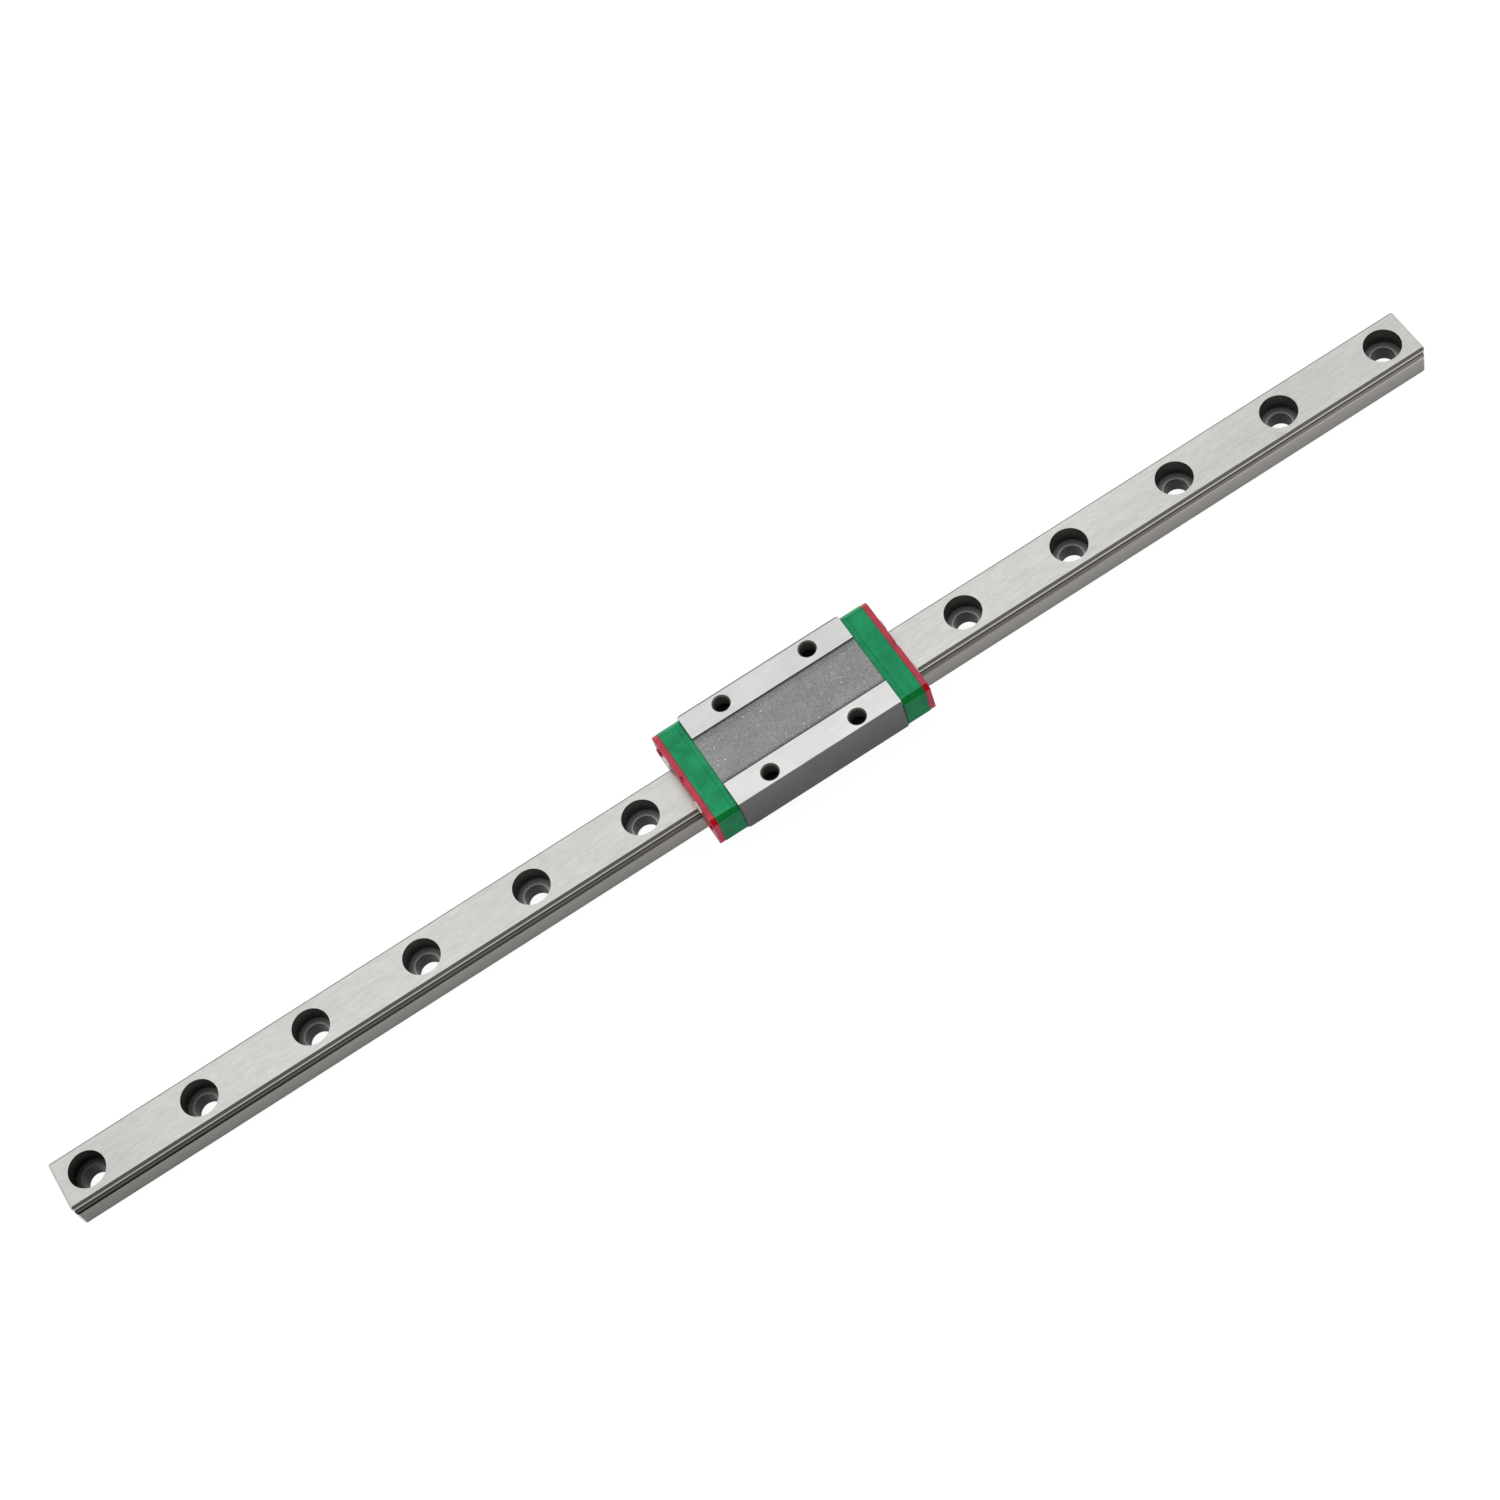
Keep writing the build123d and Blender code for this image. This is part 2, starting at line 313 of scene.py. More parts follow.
def edit(piece, choose=None):
    """Opens a piece for editing with the faces that choose(face) picks, or all of them, selected."""
    pick(piece)
    bpy.ops.object.mode_set(mode="EDIT")
    bpy.ops.mesh.select_mode(type="FACE")
    bpy.ops.mesh.select_all(action="SELECT" if choose is None else "DESELECT")
    if choose is not None:
        bpy.ops.object.mode_set(mode="OBJECT")
        for face in piece.data.polygons:
            face.select = bool(choose(face))
        bpy.ops.object.mode_set(mode="EDIT")


def close_edit():
    bpy.ops.object.mode_set(mode="OBJECT")


def modify(piece, kind, **settings):
    """Adds a modifier and applies it."""
    pick(piece)
    made = piece.modifiers.new(kind.lower(), kind)
    for name, value in settings.items():
        setattr(made, name, value)
    bpy.ops.object.modifier_apply(modifier=made.name)


def copy_piece(piece, name):
    """Copy of a piece with a mesh of its own."""
    made = piece.copy()
    made.data = piece.data.copy()
    made.name = made.data.name = name
    bpy.context.scene.collection.objects.link(made)
    return made


def settle(piece):
    """Moves a piece's place into its mesh, so that its object sits at the origin."""
    pick(piece)
    bpy.ops.object.transform_apply(location=True, rotation=True, scale=True)


def shell_of(node, name):
    """Copy of a CAD node with its loose triangles merged into flat faces."""
    source = frame["nodes"][node]
    made = copy_piece(source, name)
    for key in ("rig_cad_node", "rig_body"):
        del made[key]
    made.parent = None
    edit(made)
    bpy.ops.mesh.remove_doubles(threshold=WELD)
    bpy.ops.mesh.customdata_custom_splitnormals_clear()
    bpy.ops.mesh.dissolve_limited(angle_limit=EVEN_ANGLE)
    bpy.ops.mesh.normals_make_consistent(inside=False)
    close_edit()
    return made


def break_edges(piece, width, skin, edge_skin):
    """Rounds the sharp edges of a piece, and gives them a skin of their own that carries a painted
    reflection.
    """
    piece.data.materials.clear()
    piece.data.materials.append(skin)
    piece.data.materials.append(edge_skin)
    modify(
        piece, "BEVEL", width=width, segments=2, limit_method="ANGLE", angle_limit=BREAK_ANGLE,
        use_clamp_overlap=True, material=1, miter_outer="MITER_ARC",
    )
    smooth(piece)


def smooth(piece):
    """Shades curved faces smooth and leaves flat faces flat."""
    pick(piece)
    bpy.ops.object.shade_smooth_by_angle(angle=SHARP_ANGLE)
    modify(piece, "WEIGHTED_NORMAL", keep_sharp=True, weight=80)


def stand_for(piece, body, node):
    """Names the piece's body, and hides the CAD node that it stands for."""
    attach(piece, body)
    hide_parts(node)


# Building materials

def place(tree, kind, inputs=None, **settings):
    """Adds a node, sets its options, and fills its inputs with values or with other nodes' outputs."""
    made = tree.nodes.new(kind)
    for name, value in settings.items():
        setattr(made, name, value)
    for key, value in (inputs or {}).items():
        if isinstance(value, bpy.types.NodeSocket):
            tree.links.new(value, made.inputs[key])
        else:
            made.inputs[key].default_value = value
    return made


def calc(tree, operation, first, second=0.0, third=0.0):
    return place(tree, "ShaderNodeMath", {0: first, 1: second, 2: third}, operation=operation).outputs[0]


def apart(tree, first, second):
    """How far apart two numbers are."""
    return calc(tree, "ABSOLUTE", calc(tree, "SUBTRACT", first, second))


def ramp(tree, value, start, end, low=0.0, high=1.0):
    """Smooth rise from low at start to high at end."""
    return place(
        tree, "ShaderNodeMapRange",
        {"Value": value, "From Min": start, "From Max": end, "To Min": low, "To Max": high},
        interpolation_type="SMOOTHSTEP",
    ).outputs["Result"]


def within(tree, value, limit, blend):
    """0 beyond the limit and 1 well inside it, with a smooth rise over blend."""
    return ramp(tree, value, limit, limit - blend)


def grey(level):
    return (level, level, level)


def shade(base, level):
    """Colour with its brightness multiplied."""
    return [level * channel for channel in base]


def opaque(value):
    """Colour with its alpha, or another node's colour as it is."""
    return value if isinstance(value, bpy.types.NodeSocket) else (*value, 1.0)


def mix(tree, share, first, second):
    """Colour that goes from first to second with share."""
    return place(
        tree, "ShaderNodeMix", {0: share, 6: opaque(first), 7: opaque(second)},
        data_type="RGBA", clamp_factor=True,
    ).outputs[2]


def mix_value(tree, share, first, second):
    """Number that goes from first to second with share."""
    return place(tree, "ShaderNodeMix", {0: share, 2: first, 3: second}, data_type="FLOAT").outputs[0]


def bands(tree, value, stops):
    """Colour that follows stops, each a value and its colour, with even blends between them."""
    low, high = stops[0][0], stops[-1][0]
    share = place(tree, "ShaderNodeMapRange", {"Value": value, "From Min": low, "From Max": high})
    made = place(tree, "ShaderNodeValToRGB", {0: share.outputs["Result"]})
    elements = made.color_ramp.elements
    elements[0].color = opaque(stops[0][1])
    elements[1].color = opaque(stops[-1][1])
    for level, tone in stops[1:-1]:
        elements.new((level - low) / (high - low)).color = opaque(tone)
    return made.outputs[0]


def times(tree, base, factor):
    """Colour with each channel multiplied by that of another."""
    return place(
        tree, "ShaderNodeMix", {0: 1.0, 6: opaque(base), 7: factor}, data_type="RGBA", blend_type="MULTIPLY"
    ).outputs[2]


def level_bands(tree, base, value, stops):
    """Colour whose brightness follows stops, each a value in mm and a share."""
    return bands(tree, value, [(level * MM, shade(base, share)) for level, share in stops])


def run_bands(tree, base, value, stops):
    """Colour from another node whose brightness follows stops, each a value in mm and a share."""
    return times(tree, base, bands(tree, value, [(level * MM, grey(share)) for level, share in stops]))


def tint(tree, base, value, spread):
    """Colour made darker and lighter by spread as a noise rises."""
    factor = ramp(tree, value, NOISE_LOW, NOISE_HIGH, 1 - spread, 1 + spread)
    whole = place(tree, "ShaderNodeCombineColor", {0: factor, 1: factor, 2: factor}).outputs[0]
    return times(tree, base, whole)


def coordinates(tree):
    """Object coordinates and normal of a surface, whole and by axis."""
    source = place(tree, "ShaderNodeTexCoord")
    spot = place(tree, "ShaderNodeSeparateXYZ", {0: source.outputs["Object"]}).outputs
    normal = place(tree, "ShaderNodeSeparateXYZ", {0: source.outputs["Normal"]}).outputs
    return source.outputs["Object"], spot, normal


def turned(tree, vector, angle):
    """Coordinates turned about the Z axis."""
    made = place(tree, "ShaderNodeVectorRotate", {"Vector": vector, "Angle": angle}, rotation_type="Z_AXIS")
    return made.outputs[0]


def stretched(tree, vector, *factors):
    """Coordinates with each axis multiplied by its own factor."""
    whole = place(tree, "ShaderNodeCombineXYZ", dict(enumerate(factors))).outputs[0]
    return place(tree, "ShaderNodeVectorMath", {0: vector, 1: whole}, operation="MULTIPLY").outputs[0]


def noise(tree, vector, scale=1.0, detail=2.0, roughness=0.5, distortion=0.0):
    inputs = {
        "Vector": vector, "Scale": scale, "Detail": detail, "Roughness": roughness, "Distortion": distortion,
    }
    return place(tree, "ShaderNodeTexNoise", inputs).outputs["Fac"]


def new_group(name, labels, effect):
    """Shader node group with a number input for each label, and the outputs that the effect gives."""
    group = bpy.data.node_groups.new(name, "ShaderNodeTree")
    for label in labels:
        group.interface.new_socket(label, in_out="INPUT", socket_type="NodeSocketFloat")
    results = effect(group, group.nodes.new("NodeGroupInput").outputs)
    for label in results:
        group.interface.new_socket(label, in_out="OUTPUT", socket_type="NodeSocketFloat")
    place(group, "NodeGroupOutput", results)


def use(tree, effect, **values):
    """Outputs of an effect's node group, which is built on its first use and named after the effect."""
    name = effect.__name__.replace("_", " ").capitalize()
    inputs = {key.replace("_", " ").capitalize(): value for key, value in values.items()}
    if name not in bpy.data.node_groups:
        new_group(name, inputs, effect)
    return place(tree, "ShaderNodeGroup", inputs, node_tree=bpy.data.node_groups[name]).outputs


def grinding_streaks(tree, given):
    """Fine streaks that a grinding wheel leaves, longer than they are wide."""
    vector = turned(tree, coordinates(tree)[0], given["Turn"])
    along = calc(tree, "DIVIDE", 1.0, given["Length"])
    across = calc(tree, "DIVIDE", 1.0, given["Width"])
    lined = stretched(tree, vector, along, across, across)
    fine = noise(tree, lined, detail=1.5, roughness=0.6)
    broad = noise(tree, lined, scale=0.3, detail=1.0)
    both = calc(tree, "MULTIPLY_ADD", broad, 0.2, calc(tree, "MULTIPLY", fine, 0.8))
    return {"Streaks": both, "Depth": fine}


def uneven_tone(tree, given):
    """Slow uneven tone over a surface."""
    across = calc(tree, "DIVIDE", 1.0, given["Size"])
    along = calc(tree, "DIVIDE", across, given["Stretch"])
    vector = stretched(tree, coordinates(tree)[0], along, across, across)
    return {"Tone": noise(tree, vector, detail=3.0, roughness=0.55, distortion=0.4)}


def fine_grain(tree, given):
    """Fine grain of a peened or moulded skin, with sparse pale specks."""
    vector = coordinates(tree)[0]
    scale = calc(tree, "DIVIDE", 1.0, given["Size"])
    speck_scale = calc(tree, "MULTIPLY", scale, 0.42)
    cells = place(tree, "ShaderNodeTexVoronoi", {"Vector": vector, "Scale": speck_scale}).outputs
    by_chance = place(tree, "ShaderNodeSeparateColor", {0: cells["Color"]}).outputs[0]
    chosen = ramp(tree, by_chance, given["Speck share"], 0.0)
    dot = within(tree, cells["Distance"], 0.38, 0.2)
    return {
        "Grain": noise(tree, vector, scale, roughness=0.6),
        "Specks": calc(tree, "MULTIPLY", chosen, dot),
    }


def inside_a_hole(tree, given):
    """Whether a point lies in a row of holes, and how far from the hole's axis and below its mouth."""
    spot = coordinates(tree)[1]
    half = calc(tree, "MULTIPLY", given["Pitch"], 0.5)
    minus_half = calc(tree, "MULTIPLY", given["Pitch"], -0.5)
    x = calc(tree, "WRAP", calc(tree, "SUBTRACT", spot["X"], given["First"]), half, minus_half)
    y = calc(tree, "SUBTRACT", calc(tree, "ABSOLUTE", spot["Y"]), given["Row"])
    away = calc(tree, "SQRT", calc(tree, "MULTIPLY_ADD", x, x, calc(tree, "MULTIPLY", y, y)))
    depth = calc(tree, "SUBTRACT", given["Top"], spot["Z"])
    beyond = calc(tree, "SUBTRACT", away, given["Radius"])
    below_mouth = ramp(tree, depth, 0.006 * MM, 0.03 * MM)
    above_floor = within(tree, calc(tree, "SUBTRACT", depth, given["Deep"]), 0.2 * MM, 0.1 * MM)
    inside = calc(tree, "MULTIPLY", below_mouth, above_floor)
    inside = calc(tree, "MULTIPLY", inside, within(tree, beyond, 0.07 * MM, 0.02 * MM))
    return {"Inside": inside, "Away": away, "Depth": depth}


def thin_scratches(tree, given):
    """Sparse short scratches in several directions."""
    vector = coordinates(tree)[0]
    along = calc(tree, "DIVIDE", 1.0, given["Length"])
    across = calc(tree, "DIVIDE", 1.0, given["Width"])
    marks = 0.0
    for angle in (0.5, 1.3, 2.2, 2.9):
        lined = stretched(tree, turned(tree, vector, angle), along, across, along)
        peaks = noise(tree, lined, detail=0.0, distortion=0.3)
        marks = calc(tree, "MAXIMUM", marks, ramp(tree, peaks, 0.79, 0.84))
    return {"Scratches": calc(tree, "MULTIPLY", marks, given["Share"])}


def new_material(name, metallic):
    material = bpy.data.materials.new(name)
    material.use_nodes = True
    tree = material.node_tree
    shader = tree.nodes["Principled BSDF"]
    shader.inputs["Metallic"].default_value = metallic
    return material, tree, shader


def finish_skin(tree, shader, base, roughness):
    tree.links.new(base, shader.inputs["Base Color"])
    tree.links.new(roughness, shader.inputs["Roughness"])


def dent(tree, shader, height, strength, distance):
    bump = place(tree, "ShaderNodeBump", {"Strength": strength, "Distance": distance, "Height": height})
    tree.links.new(bump.outputs[0], shader.inputs["Normal"])


def faces_along(tree, normal, axis, signed=False):
    """1 where the surface faces along an axis, and 0 where it leans well away from it."""
    value = normal[axis] if signed else calc(tree, "ABSOLUTE", normal[axis])
    return ramp(tree, value, *FACING)


def streaked(tree, steel, stretch=1.0, turn=0.0):
    return use(
        tree, grinding_streaks, turn=turn - steel.streak_turn, length=stretch * steel.streak_length,
        width=steel.streak_width,
    )


def ground_roughness(tree, streaks):
    return ramp(tree, streaks, 0.2, 0.8, low=0.3, high=0.42)


def rail_side(tree, steel, spot, off_middle, in_groove):
    """Colour of the rail's side in painted light and shade: a face darker towards the floor, a raceway in
    painted shade with a painted highlight at its mouth, and a lip above it with a painted highlight.
    """
    upright = level_bands(tree, steel.side, spot["Z"], SIDE_BANDS)
    groove = level_bands(tree, steel.side, off_middle, GROOVE_BANDS)
    upper = run_bands(tree, groove, spot["X"], GROOVE_RUN)
    lower = run_bands(tree, groove, spot["X"], LOWER_RUN)
    groove = mix(tree, ramp(tree, off_middle, *RACEWAY_LOWER), upper, lower)
    side = run_bands(tree, mix(tree, in_groove, upright, groove), spot["X"], SIDE_RUN)
    lip = run_bands(tree, upright, spot["X"], LIP_RUN)
    return mix(tree, ramp(tree, spot["Z"], LIP_Z - 0.05 * MM, LIP_Z + 0.05 * MM), side, lip)


def rail_hole(tree, steel, spot, normal, hole, in_bore, tone):
    """Colour inside a hole of the rail: scale on the sunk wall in painted shade that deepens downwards, a
    pale seat in painted shade towards the wall, and a bore darkened as painted shade.
    """
    wall = run_bands(tree, level_bands(tree, steel.scale, hole["Depth"], WALL_BANDS), spot["X"], WALL_RUN)
    seat = run_bands(tree, level_bands(tree, steel.seat, hole["Away"], SEAT_BANDS), spot["X"], HOLE_RUN)
    bore = run_bands(tree, tint(tree, steel.bore, tone, 0.1), spot["X"], HOLE_RUN)
    return mix(tree, in_bore, mix(tree, faces_along(tree, normal, "Z"), wall, seat), bore)


def rail_skin(steel, name="rail_steel", edge_reflection=0.0):
    """Ground steel of the rail: a bright top with painted light falling off towards its ends, sides banded in
    painted light and shade, sawn ends, dark scale in the holes deepened by painted shade, and a share of
    painted reflection on the broken edges.
    """
    material, tree, shader = new_material(name, metallic=1.0)
    spot, normal = coordinates(tree)[1:]
    streaks = streaked(tree, steel)
    tone = use(tree, uneven_tone, size=9 * MM, stretch=4.0)["Tone"]
    off_middle = calc(tree, "ABSOLUTE", spot["Y"])
    in_groove = calc(
        tree, "MULTIPLY", within(tree, off_middle, RACEWAY_MOUTH, 0.03 * MM),
        within(tree, apart(tree, spot["Z"], RACEWAY_Z), RACEWAY_REACH, 0.03 * MM),
    )
    side = rail_side(tree, steel, spot, off_middle, in_groove)
    top = run_bands(tree, tint(tree, steel.ground, streaks["Streaks"], 0.11), spot["X"], TOP_RUN)
    level = calc(tree, "MULTIPLY", faces_along(tree, normal, "Z"), calc(tree, "SUBTRACT", 1.0, in_groove))
    base = mix(tree, level, tint(tree, side, streaks["Streaks"], 0.05), top)
    base = tint(tree, base, tone, 0.05)
    # The broken edges take a share of painted reflection.
    base = mix(tree, edge_reflection, base, shade(steel.ground, 0.6))
    sawn = tint(tree, shade(steel.ground, 0.9), streaked(tree, steel, turn=pi / 2)["Streaks"], 0.13)
    endways = ramp(tree, calc(tree, "ABSOLUTE", normal["X"]), 0.3, 0.5)
    base = mix(tree, endways, base, tint(tree, sawn, tone, 0.08))
    hole = use(
        tree, inside_a_hole, first=0.0, pitch=HOLE_PITCH, row=0.0, radius=SINK_RADIUS,
        top=rail_high.z, deep=rail_high.z,
    )
    in_bore = within(tree, hole["Away"], BORE_RADIUS + 0.04 * MM, 0.02 * MM)
    above_seat = within(tree, hole["Depth"], SINK_DEPTH + 0.2 * MM, 0.1 * MM)
    in_hole = calc(tree, "MULTIPLY", hole["Inside"], calc(tree, "MAXIMUM", in_bore, above_seat))
    base = mix(tree, in_hole, base, rail_hole(tree, steel, spot, normal, hole, in_bore, tone))
    roughness = mix_value(tree, in_hole, ground_roughness(tree, streaks["Streaks"]), 0.5)
    finish_skin(tree, shader, base, roughness)
    dent(tree, shader, streaks["Depth"], strength=0.25, distance=0.004 * MM)
    return material


def channel_floor(tree, steel, spot, grain, tone):
    """Colour of the peened floor between the block's lands, with pale specks and scratches, painted shade at
    the foot of its near wall and painted light towards its far wall.
    """
    marks = use(tree, thin_scratches, length=2.4 * MM, width=0.17 * MM, share=0.5)["Scratches"]
    peened = tint(tree, tint(tree, steel.channel, grain["Grain"], 0.36), tone, 0.06)
    peened = mix(tree, grain["Specks"], peened, shade(steel.channel, 3.0))
    peened = mix(tree, marks, peened, shade(steel.channel, 2.0))
    return run_bands(tree, peened, spot["Y"], CHANNEL_RUN)


def body_skin(steel, name="block_steel", edge_reflection=0.0):
    """Steel of the block: ground lands with painted light across them, a peened channel between them, dull
    flanks lit paler towards the top in painted light, and a share of painted dark reflection on the broken
    edges.
    """
    material, tree, shader = new_material(name, metallic=1.0)
    spot, normal = coordinates(tree)[1:]
    streaks = streaked(tree, steel, stretch=2.0)
    tone = use(tree, uneven_tone, size=6 * MM, stretch=1.4)["Tone"]
    grain = use(tree, fine_grain, size=0.15 * MM, speck_share=0.08)
    off_middle = calc(tree, "ABSOLUTE", spot["Y"])
    upward = faces_along(tree, normal, "Z", signed=True)
    upright = ramp(tree, calc(tree, "ABSOLUTE", normal["Z"]), 0.35, 0.15)
    sunk = ramp(tree, spot["Z"], body_high.z - 0.1 * MM, body_high.z - 0.3 * MM)
    flank = level_bands(tree, steel.flank, spot["Z"], FLANK_BANDS)
    in_channel = within(tree, off_middle, CHANNEL_REACH + 0.1 * MM, 0.05 * MM)
    # The channel's walls are its colour in painted shade.
    flank = mix(tree, in_channel, flank, shade(steel.channel, 0.6))
    lands = run_bands(tree, tint(tree, steel.land, streaks["Streaks"], 0.07), spot["Y"], LAND_RUN)
    base = tint(tree, mix(tree, upright, steel.drawn, flank), grain["Grain"], 0.08)
    base = mix(tree, upward, base, mix(tree, sunk, lands, channel_floor(tree, steel, spot, grain, tone)))
    base = tint(tree, base, tone, 0.05)
    # The broken edges take a share of painted dark reflection.
    base = mix(tree, edge_reflection, base, steel.drawn)
    hole = use(
        tree, inside_a_hole, first=block_x + TAP_SPACING_X / 2, pitch=TAP_SPACING_X,
        row=TAP_SPACING_Y / 2, radius=TAP_RADIUS, top=body_high.z, deep=TAP_DEPTH,
    )
    # The tapped holes take painted shade that deepens downwards.
    base = mix(tree, hole["Inside"], base, level_bands(tree, steel.tap, hole["Depth"], TAP_BANDS))
    roughness = ramp(tree, sunk, 0.0, 1.0, low=ground_roughness(tree, streaks["Streaks"]), high=0.5)
    finish_skin(tree, shader, base, roughness)
    height = mix_value(tree, sunk, streaks["Depth"], grain["Grain"])
    dent(tree, shader, height, strength=0.3, distance=0.006 * MM)
    return material


def moulded_hue(tree, normal, lit_and_shaded_hues):
    """Colour by lean, in painted light and shade. The colours given are those seen lit from above, and in
    painted shade on the slopes and on the upright sides.
    """
    above, slope, side = lit_and_shaded_hues
    lean = calc(tree, "ABSOLUTE", normal["Z"])
    # Slopes that face the far side take a painted highlight, paler than the top.
    lit = [min(1.0, 1.2 * part + 0.03) for part in above]
    slope = mix(tree, ramp(tree, normal["Y"], -0.2, 0.3), slope, lit)
    base = mix(tree, ramp(tree, lean, 0.35, 0.5), side, slope)
    return mix(tree, ramp(tree, lean, 0.85, 0.95), base, above)


def moulded_skin(name, lit_and_shaded_hues, roughness, mottle, seam, edge_reflection=0.0, crease=0.0):
    """Moulded plastic: slightly mottled colour, lit and shaded by lean in painted light, under a satin skin
    with a fine grain.

    seam and crease are distances from the block's middle at which the piece meets the next one, where the
    joint takes painted shade, and at which its top is creased, marked by a line of painted shade.
    """
    material, tree, shader = new_material(name, metallic=0.0)
    shader.inputs["Specular IOR Level"].default_value = 0.06
    spot, normal = coordinates(tree)[1:]
    tone = use(tree, uneven_tone, size=2.6 * MM, stretch=1.0)["Tone"]
    grain = use(tree, fine_grain, size=0.12 * MM, speck_share=0.02)
    base = tint(tree, tint(tree, moulded_hue(tree, normal, lit_and_shaded_hues), tone, mottle), grain["Grain"], 0.08)
    base = run_bands(tree, base, spot["Y"], MOULDED_RUN)
    base = mix(tree, calc(tree, "MULTIPLY", grain["Specks"], 0.15), base, SPECK_COLOUR)
    out = apart(tree, spot["X"], block_x)
    # Painted shade in the joint with the next piece.
    joint_shade = within(tree, calc(tree, "SUBTRACT", out, seam), 0.14 * MM, 0.09 * MM)
    base = mix(tree, calc(tree, "MULTIPLY", joint_shade, 0.75), base, shade(lit_and_shaded_hues[1], 0.25))
    if crease:
        # A line of painted shade along the crease.
        line = within(tree, apart(tree, out, crease), 0.12 * MM, 0.1 * MM)
        line = calc(tree, "MULTIPLY", line, faces_along(tree, normal, "Z"))
        base = mix(tree, calc(tree, "MULTIPLY", line, 0.5), base, shade(lit_and_shaded_hues[1], 0.6))
    # The rounded edges take a share of painted highlight.
    base = mix(tree, edge_reflection, base, EDGE_HIGHLIGHT_COLOUR)
    satin = ramp(tree, tone, NOISE_LOW, NOISE_HIGH, roughness - 0.05, roughness + 0.07)
    finish_skin(tree, shader, base, satin)
    dent(tree, shader, grain["Grain"], strength=0.2, distance=0.008 * MM)
    return material


def bright_skin(name, hue, roughness):
    """Bright steel with a faint uneven tone, as on plated screws and polished balls."""
    material, tree, shader = new_material(name, metallic=1.0)
    tone = use(tree, uneven_tone, size=0.5 * MM, stretch=1.0)["Tone"]
    grain = use(tree, fine_grain, size=0.08 * MM, speck_share=0.03)
    base = tint(tree, hue, tone, 0.06)
    base = mix(tree, calc(tree, "MULTIPLY", grain["Specks"], 0.4), base, shade(hue, 0.5))
    polish = ramp(tree, tone, NOISE_LOW, NOISE_HIGH, roughness, roughness + 0.08)
    finish_skin(tree, shader, base, polish)
    dent(tree, shader, grain["Grain"], strength=0.1, distance=0.002 * MM)
    return material


# One operator for each piece or group of like pieces

class GUIDE_OT_rail(bpy.types.Operator):
    """Finish the rail: break its edges and give it its ground steel"""
    bl_idname = "guide.rail"
    bl_label = "Rail"

    def execute(self, context):
        steel = context.scene.guide_steel
        rail = shell_of("rail", "guide_rail")
        skin = rail_skin(steel)
        edge_reflection_skin = rail_skin(steel, "rail_steel_edge", edge_reflection=0.1)
        break_edges(rail, steel.edge_round, skin, edge_reflection_skin)
        stand_for(rail, "rail", "rail")
        return {"FINISHED"}


class GUIDE_OT_block_body(bpy.types.Operator):
    """Finish the block's body, and cut the threads of its four tapped holes"""
    bl_idname = "guide.block_body"
    bl_label = "Block body"

    def execute(self, context):
        steel = context.scene.guide_steel
        hardware = context.scene.guide_hardware
        body = shell_of("block_body", "block_steel_body")
        skin = body_skin(steel)
        edge_reflection_skin = body_skin(steel, "block_steel_edge", edge_reflection=0.3)
        break_edges(body, steel.edge_round, skin, edge_reflection_skin)
        turns = []
        for ridge in (self.thread(hardware), self.lip(hardware)):
            ridge.data.materials.append(skin)
            for x in (-1, 1):
                for y in (-1, 1):
                    turn = copy_piece(ridge, "thread_turns")
                    turn.location = (block_x + x * TAP_SPACING_X / 2, y * TAP_SPACING_Y / 2, 0)
                    settle(turn)
                    turns.append(turn)
            bpy.data.objects.remove(ridge)
        pick(body)
        for turn in turns:
            turn.select_set(True)
        bpy.ops.object.join()
        stand_for(body, "carriage", "block_body")
        return {"FINISHED"}

    def thread(self, hardware):
        """Ridge that winds up a tapped hole, about the Z axis."""
        pitch = hardware.thread_pitch
        start = body_high.z - TAP_DEPTH + pitch / 2
        rounds = floor(TAP_DEPTH / pitch - THREAD_ROOM)
        ridge = self.section(hardware, start, THREAD_SHARE * pitch)
        modify(
            ridge, "SCREW", axis="Z", angle=2 * pi, screw_offset=pitch, iterations=rounds,
            steps=36, render_steps=36, use_merge_vertices=False,
        )
        edit(ridge)
        bpy.ops.mesh.select_all(action="DESELECT")
        bpy.ops.mesh.select_mode(type="EDGE")
        bpy.ops.mesh.select_non_manifold()
        bpy.ops.mesh.fill()
        return self.closed(ridge)

    def lip(self, hardware):
        """Ring at the mouth of a tapped hole, whose upper slope is the countersink."""
        height = LIP_SHARE * hardware.thread_height
        ridge = self.section(hardware, body_high.z - LIP_DROP - height, height)
        modify(ridge, "SCREW", axis="Z", angle=2 * pi, steps=48, render_steps=48, use_merge_vertices=False)
        edit(ridge)
        bpy.ops.mesh.remove_doubles(threshold=WELD)
        return self.closed(ridge)

    def section(self, hardware, start, height):
        """Triangle beside the Z axis that stands in from the hole's wall, from start upwards."""
        bpy.ops.object.select_all(action="DESELECT")
        bpy.ops.mesh.primitive_circle_add(vertices=3, radius=hardware.thread_height, fill_type="NOTHING")
        ridge = bpy.context.object
        ridge.name = "thread_turns"
        wall = TAP_RADIUS + 0.02 * MM
        crest = TAP_RADIUS - hardware.thread_height
        corners = ((wall, start), (wall, start + height), (crest, start + height / 2))
        for vertex, (x, z) in zip(ridge.data.vertices, corners):
            vertex.co = (x, 0, z)
        return ridge

    def closed(self, ridge):
        """Turns the faces of a ridge outwards and shades its turns smooth."""
        bpy.ops.mesh.select_all(action="SELECT")
        bpy.ops.mesh.normals_make_consistent(inside=False)
        close_edit()
        pick(ridge)
        bpy.ops.object.shade_smooth_by_angle(angle=SHARP_THREAD)
        return ridge


